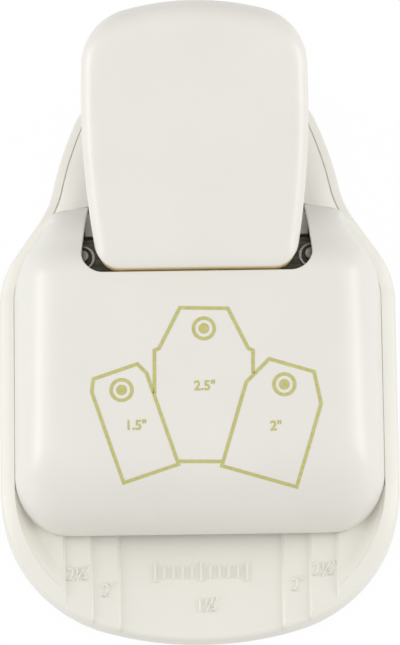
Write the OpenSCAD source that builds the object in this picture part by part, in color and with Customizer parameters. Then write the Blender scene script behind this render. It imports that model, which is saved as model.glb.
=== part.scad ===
// Label punch: a lever-driven die punch that shapes the tops of paper tags.
// Sizes in millimetres. X to the right, Y to the rear, Z up; the feet stand on Z = 0.

/* [Paper channel] */
// Width of the narrow paper strip
strip_narrow = 38.1; // [34:0.1:44]
// Width of the middle paper strip
strip_middle = 50.8; // [46:0.1:56]
// Width of the wide paper strip
strip_wide = 63.5; // [58:0.1:63.8]
// Height of each step of the channel
step_h = 0.8; // [0.5:0.05:0.9]

/* [Base] */
// Overall width of the base
base_w = 93.2; // [84:0.2:102]
// Reach of the base in front of the middle
front_reach = 70.5; // [66:0.5:76]
// Reach of the base behind the middle
rear_reach = 70.5; // [64:0.5:75]
// Radius of the front edge seen from above
nose_r = 79; // [72:1:88]
// Y where the straight sides begin
side_front_y = -35; // [-38:0.5:-33]
// Y where the straight sides end
side_rear_y = 10.7; // [9.7:0.1:11.7]
// Radius of the shoulder where the sides turn in
flare_r = 16.7; // [15:0.1:18.4]
// Turn of the shoulder in degrees
flare_angle = 38; // [36:0.5:40]
// Straight run between the shoulder and the waist
flare_len = 8.6; // [7.6:0.2:9.6]
// Radius of the waist in front of the tail
waist_r = 20; // [18:0.5:22]
// Radius of the tail sides
tail_r = 116; // [106:1:126]
// Radius of the tail corners
tail_corner_r = 18; // [16:0.5:19]
// Distance from the centres of the tail corners to the rear end
tail_depth = 22; // [20.5:0.1:23.5]
// Width of the rim outside the cover
rim_w = 3.4; // [3:0.1:3.8]
// Width of the rim along the tail
tail_rim_w = 2.3; // [2.2:0.1:2.6]
// Height of the rim along the sides
rim_z = 13.5; // [11:0.1:15]
// Height of the rim at the waist
rim_peak_z = 20; // [17:0.5:21]
// Height of the rim at the rear
rim_rear_z = 13; // [11.5:0.1:14]
// Radius of the feet
foot_r = 5; // [3.5:0.1:6]
// Clear height under the base
foot_stand = 1; // [0.6:0.1:1.6]
// Thickness of the bottom plate
plate_t = 1.5; // [1.2:0.1:2]

/* [Cover] */
// Height of the crest in front of the lever
cover_z = 41; // [40.2:0.2:44]
// Tilt of the cover top towards the user
cover_tilt = 10; // [8:0.5:10.2]
// Wall of the cover
cover_t = 2.4; // [1.8:0.1:2.5]
// Y of the front edge of the cover
cover_front_y = -45.8; // [-48:0.2:-44]
// Radius of the front corners seen from above
cover_corner_r = 13; // [10:0.5:15]
// Length of the rounded front
cover_nose = 18.8; // [15:0.2:20]
// Y of the rear edge of the cover beside the notch
cover_rear_y = 30.8; // [30.2:0.1:31.2]
// Sweep of the rear edge towards the front at the sides in degrees
cover_sweep = 15; // [12:1:18]
// Height of the cover at its rear edge
cover_rear_z = 22.5; // [21.5:0.5:24]
// Gap between the front end of the paddle and the notch
notch_gap = 1.2; // [0.9:0.1:1.6]
// Gap between the widest place of the paddle and the notch
notch_side = 0.5; // [0.4:0.1:1.6]
// Radius of the notch corners
notch_r = 5; // [3:0.5:6]

/* [Lever] */
// Distance from the hinge to the front end of the paddle
lever_front = 30.4; // [29.4:0.1:32]
// Distance from the hinge to the free end of the paddle
lever_reach = 92.5; // [86:0.5:98]
// Distance from the hinge to the widest place of the paddle
lever_wide = 69; // [64:0.5:72]
// Width of the paddle at its widest place
lever_w = 52.6; // [49:0.2:56]
// Width of the paddle at the front end
lever_front_w = 45.6; // [42:0.2:47]
// Depth of the paddle near the hinge
lever_h = 11; // [9.5:0.1:11.4]
// Depth of the paddle at the free end
lever_tip_h = 7.5; // [6:0.1:9]
// Radius of the rounded top edge
lever_round = 4; // [2.5:0.1:4.4]
// Wall of the paddle
lever_t = 2.2; // [1.6:0.1:2.4]
// Tilt of the lever at rest in degrees
lever_rest = 25; // [24.4:0.1:26]
// Turn of the lever in degrees
lever_turn = 19; // [17:0.5:19]

/* [Mechanism] */
// Radius of the hinge pin
pin_r = 1.75; // [1.4:0.05:1.9]
// Radius of the roller
roller_r = 4; // [3.4:0.05:4]
// Radius of the roller pin
roller_pin_r = 1.5; // [1.2:0.05:1.8]
// Distance from the hinge to the roller
roller_arm = 19; // [18:0.1:19.4]
// Thickness of the yoke arms
yoke_t = 2; // [1.6:0.1:2.2]
// Thickness of the hinge brackets
bracket_t = 2.5; // [2:0.1:2.6]
// Radius of the guide posts
post_r = 1.5; // [1.3:0.05:1.6]
// Running clearance of pins, posts and blade
run_gap = 0.05; // [0.03:0.005:0.08]
// Wire diameter of the return springs
wire_d = 0.8; // [0.6:0.05:0.85]
// Turns of each return spring
spring_turns = 4.5; // [3.5:0.5:5]

/* [Die set] */
// Thickness of the die plate
die_t = 3.2; // [2.6:0.1:3.2]
// Height of the paper slot
slot_h = 2.6; // [2.6:0.05:3]
// Thickness of the guide plate
guide_t = 3; // [2.6:0.1:3.2]
// Thickness of the ram plate
ram_t = 6; // [5.4:0.1:6]
// Width of the flat top of the tag
tag_top = 32; // [28:0.5:36]
// Width of the tag at its shoulders
tag_shoulder = 54.4; // [52:0.2:56]
// Radius of the eyelet punch
eyelet_r = 2.5; // [1.5:0.1:3]

/* [Hidden] */
$fn = 48;
ivory = "#e8e5dd";
cream = "#e6e3d6";
steel = "#8f8d84";
dark_steel = "#5d5b52";
bright = "#b9b8b2";
rubber = "#3a3a3a";
eps = 0.01;
fit = 0.02;
far = 200;

// Levels of the stack
base_z = foot_stand;
plate_top = base_z + plate_t;
die_z = plate_top + 0.3;
die_top = die_z + die_t;
guide_z = die_top + slot_h;
guide_top = guide_z + guide_t;
table_z = guide_z;
slab_z = die_z + 1.2;
floor_low = table_z - 3 * step_h;

// Lever geometry in the YZ plane
hinge_y = -19;
pad_z = cover_z - 13;
half_turn = lever_turn / 2;
stroke = 2 * roller_arm * sin(half_turn);
roller_gap = 0.04;
hinge_z = pad_z + roller_gap + roller_r - roller_arm * sin(half_turn);
roller_local = half_turn - lever_rest;
roller_p = roller_arm * cos(roller_local);
roller_q = roller_arm * sin(roller_local);
ram_z = guide_top + stroke + 0.53;
ram_top = ram_z + ram_t;

// Notch in the cover, clear of the paddle at rest; the paddle's top lies just above the hinge
paddle_top = 1;
notch_y = hinge_y + lever_front * cos(lever_rest) + (lever_round - paddle_top) * sin(lever_rest) - notch_gap;
notch_half = lever_w / 2 + notch_side;
notch_taper = 1.5;

// Plan outline of the base: tangent arcs from the front middle to the rear middle
half_w = base_w / 2;
tail_angle = 11;
nose_c = [0, nose_r - front_reach];
corner_r = (pow(nose_r, 2) - pow(half_w, 2) - pow(side_front_y - nose_c.y, 2)) / (2 * (nose_r - half_w));
corner_c = [half_w - corner_r, side_front_y];
nose_end = atan2(corner_c.y - nose_c.y, corner_c.x);
flare_c = [half_w - flare_r, side_rear_y];
flare_dir = [cos(flare_angle), sin(flare_angle)];
flare_run = [-sin(flare_angle), cos(flare_angle)];
waist_c = flare_c + (flare_r + waist_r) * flare_dir + flare_len * flare_run;
tail_c = waist_c - (waist_r + tail_r) * [cos(tail_angle), sin(tail_angle)];
tail_end = asin((rear_reach - tail_depth - tail_c.y) / (tail_r - tail_corner_r));
rear_c = tail_c + (tail_r - tail_corner_r) * [cos(tail_end), sin(tail_end)];
rear_k = rear_c.y - rear_reach;
rear_r = (pow(tail_corner_r, 2) - pow(rear_c.x, 2) - pow(rear_k, 2)) / (2 * (tail_corner_r + rear_k));
rear_mid = [0, rear_reach - rear_r];
rear_turn = atan2(rear_c.y - rear_mid.y, rear_c.x);

function arc(c, r, a0, a1, n, first = 0) =
  [for (i = [first:n]) c + r * [cos(a0 + (a1 - a0) * i / n), sin(a0 + (a1 - a0) * i / n)]];
function half_outline(d) = concat(
  arc(nose_c, nose_r - d, -90, nose_end, 4),
  arc(corner_c, corner_r - d, nose_end, 0, 8, 1),
  arc(flare_c, flare_r - d, 0, flare_angle, 5),
  arc(waist_c, waist_r + d, 180 + flare_angle, 180 + tail_angle, 3),
  arc(tail_c, tail_r - d, tail_angle, tail_end, 3, 1),
  arc(rear_c, tail_corner_r - d, tail_end, rear_turn, 4, 1),
  arc(rear_mid, rear_r - d, rear_turn, 90, 4, 1));
function closed(h) = concat(h, [for (i = [len(h) - 2:-1:1]) [-h[i].x, h[i].y]]);
function outline(d) = closed(half_outline(d));

// Half width of the outline, inset by d, at a given Y behind the front corners
function outline_w(y, d) =
  let (flare_top = flare_c + (flare_r - d) * flare_dir)
  let (run_top = flare_top + flare_len * flare_run)
  y < side_rear_y ? half_w - d :
  y < flare_top.y ? flare_c.x + sqrt(pow(flare_r - d, 2) - pow(y - side_rear_y, 2)) :
  y < run_top.y ? flare_top.x - (y - flare_top.y) * tan(flare_angle) :
  waist_c.x - sqrt(pow(waist_r + d, 2) - pow(y - waist_c.y, 2));

function ease(t) = let (u = max(0, min(1, t))) u * u * (3 - 2 * u);
function rim_top(y) =
  let (low = table_z + 0.15, start_y = 10.5 - front_reach, rise_y = side_rear_y + 1.3, peak_y = waist_c.y - 9)
  low + (rim_z - low) * ease((y - start_y) / (side_front_y - start_y))
  + (rim_peak_z - rim_z) * ease((y - rise_y) / (peak_y - rise_y))
  - (rim_peak_z - rim_rear_z) * ease((y - peak_y) / (rear_reach - peak_y));

// Cover surface: a tilted top, rounded to the front, falling to the rear, with full side fillets
seam = 0.2;
cover_inset = rim_w + seam;
rim_foot = 2.1;
cover_side = half_w - cover_inset;
cover_nose_y = cover_front_y + cover_nose;
nose_power = 2.2;
side_power = 6;
fall_power = 1.7;
cover_run = cover_rear_y - notch_y;
cover_fall = (cover_z + cover_run * tan(cover_tilt) - cover_rear_z) / pow(cover_run, fall_power);
function cover_line(y) =
  cover_z + (y - notch_y) * tan(cover_tilt) - cover_fall * pow(max(0, y - notch_y), fall_power);
function cover_ridge(y, t) =
  let (u = max(0, min(1, (cover_nose_y - y) / (cover_nose - t))))
  table_z + (cover_line(y) - t - table_z) * pow(1 - pow(u, nose_power), 1 / nose_power);
function cover_w(y) =
  let (start = cover_front_y + cover_corner_r)
  y < start ? cover_side - cover_corner_r + sqrt(max(0, pow(cover_corner_r, 2) - pow(start - y, 2)))
  : outline_w(y, cover_inset);
function cover_top(x, y) =
  table_z + (cover_ridge(y, 0) - table_z)
  * pow(max(0, 1 - pow(abs(x) / cover_w(y), side_power)), 1 / side_power);

// Paddle outline in the lever's own frame: hinge at the origin, Y along the paddle
front_corner_r = 6;
tip_corner_r = 13.2;
tip_crown_r = 62;
lever_taper = (lever_w - lever_front_w) / 2;
side_r = (pow(lever_wide - lever_front, 2) + pow(lever_taper, 2)) / (2 * lever_taper);
side_c = [lever_w / 2 - side_r, lever_wide];
crown_c = [0, lever_reach - tip_crown_r];
front_c = [side_c.x + sqrt(pow(side_r - front_corner_r, 2) - pow(lever_wide - lever_front - front_corner_r, 2)),
  lever_front + front_corner_r];
// Upper crossing of two circles
function crossing(a, ra, b, rb) =
  let (d = norm(b - a), u = (b - a) / d, k = (ra * ra - rb * rb + d * d) / (2 * d))
  a + k * u + sqrt(ra * ra - k * k) * [-u.y, u.x];
tip_c = crossing(side_c, side_r - tip_corner_r, crown_c, tip_crown_r - tip_corner_r);
side_turn = [for (c = [front_c, tip_c]) atan2(c.y - side_c.y, c.x - side_c.x)];
tip_turn = atan2(tip_c.y - crown_c.y, tip_c.x);
function half_paddle(d) = concat(
  [[0, lever_front + d]],
  arc(front_c, front_corner_r - d, -90, side_turn[0], 6),
  arc(side_c, side_r - d, side_turn[0], side_turn[1], 5, 1),
  arc(tip_c, tip_corner_r - d, side_turn[1], tip_turn, 8, 1),
  arc(crown_c, tip_crown_r - d, tip_turn, 90, 4, 1));
function paddle(d) = closed(half_paddle(d));
web_front = 36;
web_rear = 58;
taper_from = web_front + 14;
function paddle_bottom(p) =
  paddle_top - lever_h + (lever_h - lever_tip_h) * ease((p - taper_from) / (lever_reach - taper_from));

// Yoke and brackets across the width
yoke_in = 13.5;
yoke_out = yoke_in + yoke_t;
bracket_in = yoke_in + 2.7;
bracket_out = bracket_in + bracket_t;
eye_r = 3.6;
web_q = paddle_top - lever_t - 2;
lever_screw_at = [[8, web_front + 6], [8, web_rear - 4]];
function lever_frame_z(p, q) = hinge_z + p * sin(lever_rest) + q * cos(lever_rest);

// Die set: the blade is what is cut away round the tag's top
slot_half = strip_wide / 2 + 0.65;
spacer_out = slot_half + 3.5;
die_front = -30;
die_ear = 6;
die_rear = 21;
guide_half = cover_side - cover_t - 0.4;
guide_turn_y = side_rear_y + 1;
guide_rear_half = outline_w(die_rear, cover_inset) - cover_t / cos(flare_angle) - 1.2;
blade_front = -20.2;
blade_rear = 12.8;
die_end = blade_rear + 2.6;
blade_half = strip_wide / 2 + 0.25;
tag_top_y = 8.8;
tag_shoulder_y = -17.7;
blade_tip = guide_z + 0.4;
function waste(c) =
  let (run = [(tag_shoulder - tag_top) / 2, tag_top_y - tag_shoulder_y])
  let (lean = atan2(run.y, run.x), step = [blade_half - 0.25 - tag_shoulder / 2, tag_shoulder_y - blade_front])
  let (bend = atan2(step.y, step.x))
  let (mid = (lean + bend) / 2, mid_c = c / cos((lean - bend) / 2))
  let (r = [[blade_half + c, blade_rear + c], [blade_half + c, blade_front - c],
    [blade_half - 0.25 - c * tan(bend / 2), blade_front - c],
    [tag_shoulder / 2 - mid_c * sin(mid), tag_shoulder_y - mid_c * cos(mid)],
    [tag_top / 2 - c * tan(lean / 2), tag_top_y - c]])
  concat(r, [for (i = [len(r) - 1:-1:0]) [-r[i].x, r[i].y]]);
eyelet_at = [0, -4.8];
front_post_y = -14;
tag_at_post = tag_top + (tag_shoulder - tag_top) * (tag_top_y - front_post_y) / (tag_top_y - tag_shoulder_y);
posts = [[26.8, 17.4], [tag_at_post / 2 - 4.1, front_post_y]];
bush_r = post_r + 0.7;
flange_r = post_r + 1.4;
flange_t = 0.6;
clip_t = 0.6;
clip_z = ram_top + flange_t + 0.05;
post_top = clip_z + clip_t + 0.95;
pocket_h = ram_t - 1.8;
spring_r = post_r + 0.7 + wire_d / 2;
pocket_r = spring_r + wire_d / 2 + 0.4;
ram_half = 32.5;
ram_front = -21;
ram_rear = 21.9;
ram_rear_half = min(ram_half, outline_w(ram_rear, cover_inset) - cover_t / cos(flare_angle) - 1.2);
pad_half = [10, 4];
screw_r = 1.1;
head_r = 2.4;
small_head_r = 1.9;
small_head_h = 1.2;
boss_r = 2.7;
die_screw_at = [[guide_half - 2.4, die_front + die_ear / 2], [12, (die_end + die_rear) / 2]];
rivet_at = [for (y = [die_front + die_ear + 3.5, die_end - 4.4]) [(slot_half + spacer_out) / 2, y]];
bracket_foot = 7.3;
bracket_rivet_at = [[bracket_out + 2.5, -27.4], [bracket_out + bracket_foot - 2, -23.9]];
blade_thread = 4.5;
eyelet_seat = 2.9;
blade_screw_at = [[8, (tag_top_y + blade_rear) / 2], [28, -8]];
rear_boss_y = cover_rear_y - 5.2;
cover_screw_at = [[(strip_wide / 2 + cover_side - cover_t) / 2, die_front - boss_r - 0.8],
  [outline_w(rear_boss_y + boss_r, cover_inset) - cover_t - 1.4, rear_boss_y]];
deck_screw_at = [[half_w - 31.6, rear_reach - 28.5]];
feet_at = [[half_w - 14.6, 20.5 - front_reach], [half_w - 29.6, rear_reach - 15.5]];

// Deck: a panel in the tail, flush with the cover and the rim and falling to the rear. It runs on
// under the paddle and ends in a tongue
deck_inset = tail_rim_w + seam;
deck_t = 2.2;
deck_gap = 0.3;
deck_z = pad_z - 6;
deck_tongue_y = 23.5;
deck_rear_z = rim_rear_z;
tongue_half = cover_screw_at[1].x - boss_r - 0.4;
tongue_root = notch_half - notch_taper - 0.3;
tongue_end = cover_rear_y + deck_gap + 0.2;
function deck_top(y) = deck_z + (deck_rear_z - deck_z) * (y - cover_rear_y) / (rear_reach - cover_rear_y);

module both() {
  children();
  mirror([1, 0, 0]) children();
}

module at_pairs(list) {
  both() for (p = list) translate([p.x, p.y, 0]) children();
}

module rod(r, z0, z1) {
  translate([0, 0, z0]) cylinder(h = z1 - z0, r = r);
}

module slab(shape, z0, z1) {
  translate([0, 0, z0]) linear_extrude(z1 - z0) polygon(shape);
}

module block(x0, x1, y0, y1, z0, z1) {
  translate([x0, y0, z0]) cube([x1 - x0, y1 - y0, z1 - z0]);
}

// Rod along X, centred on the YZ point
module cross_rod(r, x0, x1, y, z) {
  translate([x0, y, z]) rotate([0, 90, 0]) cylinder(h = x1 - x0, r = r);
}

// Spring clip: a ring open on one side
module clip(r_in, r_out, t) {
  difference() {
    cylinder(h = t, r = r_out);
    translate([0, 0, -eps]) cylinder(h = t + 2 * eps, r = r_in);
    translate([-r_in * 0.8, -r_out - eps, -eps]) cube([r_in * 1.6, r_out, t + 2 * eps]);
  }
}

// Closed band of rings: ring k holds the same number of points as ring 0
module band(rings, loop) {
  n = len(rings[0]);
  k = len(rings);
  last = loop ? k - 1 : k - 2;
  sides = [for (j = [0:last]) for (i = [0:n - 1])
    let (a = j * n + i, b = j * n + (i + 1) % n, c = ((j + 1) % k) * n + i, d = ((j + 1) % k) * n + (i + 1) % n)
    each [[a, c, d], [a, d, b]]];
  caps = loop ? [] : [[for (i = [0:n - 1]) i], [for (i = [n - 1:-1:0]) (k - 1) * n + i]];
  polyhedron(points = [for (r = rings) each r], faces = concat(sides, caps), convexity = 6);
}

function mix(a, b, share) = a + (b - a) * min(max(share, 0), 1);
module rim_ring() {
  fillet = 2.6;
  ys = [for (p = outline(0)) rim_top(p.y)];
  section = [[0.8, base_z, 0], [0, base_z + 1, 0], [0, -fillet, 1], [0.75, -0.75, 1], [1.8, -0.2, 1],
    [rim_w, 0, 1], [rim_w, slab_z - 0.4, 0], [rim_foot, slab_z - 0.4, 0], [rim_foot, base_z, 0]];
  band([for (s = section) let (o = outline(s[0]), n = outline(min(s[0], tail_rim_w)))
    [for (i = [0:len(o) - 1]) let (p = mix(o[i], n[i], (o[i].y - cover_rear_y + 5.3) / 2.4))
      [p.x, p.y, s[1] + s[2] * ys[i]]]], true);
}

// Plan of the die plate; its front corners leave room for ears of the base
function die_shape(d) =
  let (r = [[slot_half - 0.8 + d, die_front - d], [slot_half - 0.8 + d, die_front + die_ear - d],
    [spacer_out + d, die_front + die_ear - d], [spacer_out + d, die_end + d]])
  concat(r, [for (i = [len(r) - 1:-1:0]) [-r[i].x, r[i].y]]);

module base_tray() {
  color(cream) difference() {
    union() {
      rim_ring();
      slab(outline(rim_foot - 0.2), slab_z, table_z);
      at_pairs(cover_screw_at) rod(boss_r, plate_top, slab_z + 0.3);
      at_pairs(die_screw_at) rod(screw_r + 1, plate_top, slab_z + 0.3);
      at_pairs(deck_screw_at) rod(boss_r, plate_top, slab_z + 0.3);
    }
    for (i = [0:2]) {
      w = [strip_narrow, strip_middle, strip_wide][i] / 2;
      block(-w, w, -front_reach - 1, die_front, floor_low + i * step_h, far);
    }
    slab(die_shape(0.2), 0, far);
    at_pairs(cover_screw_at) rod(screw_r + 0.2, 0, far);
    at_pairs(die_screw_at) rod(screw_r + fit, plate_top + 0.8, far);
    at_pairs(deck_screw_at) rod(screw_r + 0.2, 0, far);
  }
}

module bottom_plate() {
  window = [blade_half + 1, blade_front - 1, blade_rear + 1];
  color(cream) difference() {
    slab(outline(rim_foot + seam), base_z, plate_top);
    block(-window[0], window[0], window[1], window[2], 0, far);
    at_pairs(concat(cover_screw_at, deck_screw_at)) {
      rod(screw_r + 0.2, 0, far);
      rod(head_r + 0.1, 0, base_z + 0.9);
    }
    at_pairs(feet_at) rod(foot_r + 0.1, 0, base_z + 0.5);
  }
}

module rubber_feet() {
  color(rubber) at_pairs(feet_at) rod(foot_r, 0, base_z + 0.5);
}

// Grid of one cover skin; t is how far it lies inside the outer skin
cover_arc = [180, 172, 163, 152, 138, 120, 90, 60, 42, 28, 17, 8, 0];
cover_nose_steps = 9;
cover_rest_steps = 16;
function cover_ys(t) = concat(
  [for (i = [0:cover_nose_steps]) cover_nose_y - (cover_nose - t) * cos(90 * i / cover_nose_steps)],
  [for (i = [1:cover_rest_steps]) cover_nose_y + (cover_rear_y - cover_nose_y) * i / cover_rest_steps]);
function cover_grid(t) = [for (y = cover_ys(t))
  let (w = cover_w(y < cover_nose_y ? max(y - t, cover_front_y) : y) - t)
  let (h = cover_ridge(y, t) - table_z)
  each [for (a = cover_arc) [w * sign(cos(a)) * pow(abs(cos(a)), 2 / side_power), y,
    table_z + h * pow(abs(sin(a)), 2 / side_power)]]];

module cover_skin() {
  m = len(cover_arc);
  n = cover_nose_steps + cover_rest_steps + 1;
  o = m * n;
  quads = concat(
    [for (i = [0:n - 2]) for (j = [0:m - 2]) [i * m + j, i * m + j + 1, (i + 1) * m + j + 1, (i + 1) * m + j]],
    [for (i = [0:n - 2]) for (j = [0:m - 2])
      [o + i * m + j, o + (i + 1) * m + j, o + (i + 1) * m + j + 1, o + i * m + j + 1]],
    [for (i = [0:n - 2]) [i * m, (i + 1) * m, o + (i + 1) * m, o + i * m]],
    [for (i = [0:n - 2]) [o + i * m + m - 1, o + (i + 1) * m + m - 1, (i + 1) * m + m - 1, i * m + m - 1]],
    [for (j = [0:m - 2]) [j, o + j, o + j + 1, j + 1]],
    [for (j = [0:m - 2]) let (r = (n - 1) * m) [r + j, r + j + 1, o + r + j + 1, o + r + j]]);
  polyhedron(points = concat(cover_grid(0), cover_grid(cover_t)),
    faces = [for (q = quads) each [[q[2], q[1], q[0]], [q[3], q[2], q[0]]]], convexity = 8);
}

function notch_shape() =
  let (w = notch_half, rear = notch_half - notch_taper)
  let (r = concat(arc([w - notch_r, notch_y + notch_r], notch_r, -90, 0, 6),
    [[rear, cover_rear_y], [rear, cover_rear_y + 2]]))
  concat(r, [for (i = [len(r) - 1:-1:0]) [-r[i].x, r[i].y]]);

// Plan of all that lies behind the swept seam, moved back by d
function behind_seam(d) =
  let (y = cover_rear_y + d, x = notch_half - notch_taper, end = y - (half_w - x) * tan(cover_sweep))
  [[-half_w, end], [-x, y], [x, y], [half_w, end], [half_w, far], [-half_w, far]];

// Highest a screw boss can reach without breaking through the cover
function boss_top(p) =
  min([for (i = [-1, 1]) for (j = [-1, 1]) cover_top(p.x + i * boss_r, p.y + j * boss_r)]) - 0.6;

// Top edge of the rib from a screw boss to the side wall, just inside the cover
function rib_line(p, h) =
  let (end = cover_w(p.y) - cover_t / 2)
  [for (i = [0:6]) let (x = p.x + (end - p.x) * i / 6)
    [x, min(boss_top(p), cover_top(x, p.y - h) - 0.6, cover_top(x, p.y + h) - 0.6)]];

module top_cover() {
  slot_lip = 0.6;
  rib_half = 0.8;
  color(ivory) difference() {
    union() {
      cover_skin();
      both() for (p = cover_screw_at) {
        translate([p.x, p.y, 0]) rod(boss_r, table_z, boss_top(p));
        translate([0, p.y + rib_half, 0]) rotate([90, 0, 0]) linear_extrude(2 * rib_half)
          polygon(concat([[p.x, table_z]], rib_line(p, rib_half), [[cover_w(p.y) - cover_t / 2, table_z]]));
      }
    }
    slab(notch_shape(), 0, far);
    slab(behind_seam(0), 0, far);
    block(-slot_half - 1.1, slot_half + 1.1, cover_front_y - 1, cover_front_y + 6, 0, table_z + slot_lip);
    at_pairs(cover_screw_at) rod(screw_r + fit, 0, table_z + 9);
  }
}

// Plan of the tongue; it narrows where the cover comes down beside it
function tongue_shape() =
  let (r = [[tongue_half, deck_tongue_y], [tongue_half, cover_rear_y - 2.8], [tongue_root, cover_rear_y - 1.6],
    [tongue_root, tongue_end]])
  concat(r, [for (i = [len(r) - 1:-1:0]) [-r[i].x, r[i].y]]);

// Solid under the deck's skin; t is how far it lies inside the outer skin
module deck_body(t) {
  low = table_z - (t > 0 ? 1 : 0);
  edge = [[0, far], [0, 1.4], [0.3, 0.9], [1, 0.4], [2.5, 0]];
  intersection() {
    band([for (e = edge) [for (p = outline(deck_inset + t + e[0]))
      [p.x, p.y, max(low, deck_top(p.y) - t - e[1])]]], false);
    slab(behind_seam(deck_gap + t), 0, far);
  }
}

module rear_deck() {
  color(ivory) difference() {
    union() {
      difference() {
        union() {
          deck_body(0);
          slab(tongue_shape(), table_z, deck_z);
        }
        deck_body(deck_t);
        block(deck_t - tongue_root, tongue_root - deck_t, deck_tongue_y + deck_t, tongue_end + deck_t,
          table_z - 1, deck_z - deck_t);
      }
      both() for (p = deck_screw_at)
        translate([p.x, p.y, 0]) rod(boss_r, table_z, deck_top(p.y) - deck_t / 2);
    }
    at_pairs(deck_screw_at) rod(screw_r + fit, 0, deck_rear_z - 1);
  }
}

module cover_screws() {
  color(steel) at_pairs(cover_screw_at) {
    rod(head_r, base_z, base_z + 0.85);
    rod(screw_r, base_z, table_z + 8);
  }
}

module deck_screws() {
  color(steel) at_pairs(deck_screw_at) {
    rod(head_r, base_z, base_z + 0.85);
    rod(screw_r, base_z, deck_rear_z - 1.3);
  }
}

module die_plate() {
  color(dark_steel) difference() {
    slab(die_shape(0), die_z, die_top);
    slab(waste(run_gap), 0, far);
    translate([eyelet_at.x, eyelet_at.y, 0]) rod(eyelet_r + run_gap, 0, far);
    at_pairs(rivet_at) rod(screw_r + fit, 0, far);
  }
}

module slot_spacers() {
  color(steel) difference() {
    both() block(slot_half, spacer_out, die_front + die_ear, die_end, die_top, guide_z);
    at_pairs(rivet_at) rod(screw_r + fit, 0, far);
  }
}

module guide_plate() {
  corner = 2;
  half = [[guide_half - corner, die_front], [guide_half, die_front + corner], [guide_half, guide_turn_y],
    [guide_rear_half, die_rear]];
  shape = concat(half, [for (i = [len(half) - 1:-1:0]) [-half[i].x, half[i].y]]);
  color(dark_steel) difference() {
    slab(shape, guide_z, guide_top);
    slab(waste(run_gap), 0, far);
    translate([eyelet_at.x, eyelet_at.y, 0]) rod(eyelet_r + run_gap, 0, far);
    at_pairs(rivet_at) rod(screw_r + fit, 0, far);
    at_pairs(die_screw_at) {
      rod(screw_r + 0.1, 0, far);
      rod(small_head_r + 0.1, guide_top - small_head_h - 0.1, far);
    }
    at_pairs(bracket_rivet_at) rod(screw_r + fit, 0, far);
    at_pairs(posts) rod(post_r + fit, 0, far);
  }
}

module stack_rivets() {
  color(bright) at_pairs(rivet_at) rod(screw_r, die_z, guide_top);
}

module die_screws() {
  color(bright) at_pairs(die_screw_at) {
    rod(screw_r, plate_top + 1, guide_top - small_head_h);
    rod(small_head_r, guide_top - small_head_h - 0.1, guide_top - 0.1);
  }
}

module guide_posts() {
  color(bright) at_pairs(posts) {
    rod(post_r, guide_z + 0.1, clip_z);
    rod(post_r - 0.4, clip_z - 0.1, post_top);
    rod(post_r - 0.1, clip_z + clip_t, post_top - 0.2);
  }
}

module post_clips() {
  color(steel) at_pairs(posts) translate([0, 0, clip_z]) clip(post_r - 0.4 + fit, post_r + 0.8, clip_t);
}

// Spring: a round wire on a helix, with a straight run of one wire diameter at each end
spring_z0 = guide_top + wire_d / 2 + fit;
spring_z1 = ram_z + pocket_h - wire_d / 2 - fit;
curl_steps = 8;
spring_steps = spring_turns * curl_steps;
spring_slope = (spring_z1 - spring_z0) / spring_turns / 360 * 180 / PI;
function spring_dir(a) = let (v = [-spring_r * sin(a), spring_r * cos(a), spring_slope]) v / norm(v);
function spring_at(i) =
  let (a = i * 360 / curl_steps)
  [spring_r * cos(a), spring_r * sin(a), spring_z0 + (spring_z1 - spring_z0) * i / spring_steps];
spring_line = [for (i = [0:spring_steps]) spring_at(i)];
spring_gap = min([for (i = [0:spring_steps]) for (j = [i + curl_steps / 2:1:spring_steps])
  norm(spring_line[i] - spring_line[j])]) - wire_d;
echo(spring_least_gap = spring_gap);

function wire_ring(c, a) =
  let (t = spring_dir(a), e = [cos(a), sin(a), 0], f = cross(t, e))
  [for (s = [0:5]) c + wire_d / 2 * (cos(60 * s) * e + sin(60 * s) * f)];

module spring() {
  a1 = spring_steps * 360 / curl_steps;
  start = spring_line[0] - wire_d * [0, 1, 0];
  end = spring_line[spring_steps] + wire_d * [-sin(a1), cos(a1), 0];
  band(concat([wire_ring(start, 0)], [for (i = [0:spring_steps]) wire_ring(spring_line[i], i * 360 / curl_steps)],
    [wire_ring(end, a1)]), false);
}

module return_springs() {
  color(bright) at_pairs(posts) spring();
}

module hinge_brackets() {
  leg_front = -28;
  leg_rear = ram_front - 0.6;
  foot_t = 2;
  color(dark_steel) both() difference() {
    union() {
      translate([bracket_in, 0, 0]) rotate([90, 0, 90]) linear_extrude(bracket_t) {
        polygon([[leg_front, guide_top], [leg_rear, guide_top], [leg_rear, hinge_z - 2.6],
          [hinge_y, hinge_z], [hinge_y - 2, hinge_z + 3], [leg_front, hinge_z - 6]]);
        translate([hinge_y, hinge_z]) circle(r = eye_r);
      }
      block(bracket_in, bracket_out + bracket_foot, leg_front - 1.5, leg_rear, guide_top, guide_top + foot_t);
    }
    cross_rod(pin_r + fit, 0, far, hinge_y, hinge_z);
    for (p = bracket_rivet_at) translate([p.x, p.y, 0]) rod(screw_r + fit, 0, far);
  }
}

module bracket_rivets() {
  foot_t = 2;
  color(bright) at_pairs(bracket_rivet_at) {
    rod(screw_r, guide_z + 0.1, guide_top + foot_t + 0.1);
    rod(1.8, guide_top + foot_t, guide_top + foot_t + 0.9);
  }
}

module hinge_pin() {
  end = bracket_out + 1.6;
  neck = bracket_out + 0.1;
  color(bright) {
    cross_rod(pin_r, -neck, neck, hinge_y, hinge_z);
    cross_rod(pin_r - 0.4, -end, end, hinge_y, hinge_z);
    both() cross_rod(pin_r - 0.1, neck + clip_t, end - 0.1, hinge_y, hinge_z);
  }
}

module hinge_clips() {
  color(steel) both() translate([bracket_out + 0.1, hinge_y, hinge_z]) rotate([90, 0, 90])
    clip(pin_r - 0.4 + fit, pin_r + 1.3, clip_t);
}

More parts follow.
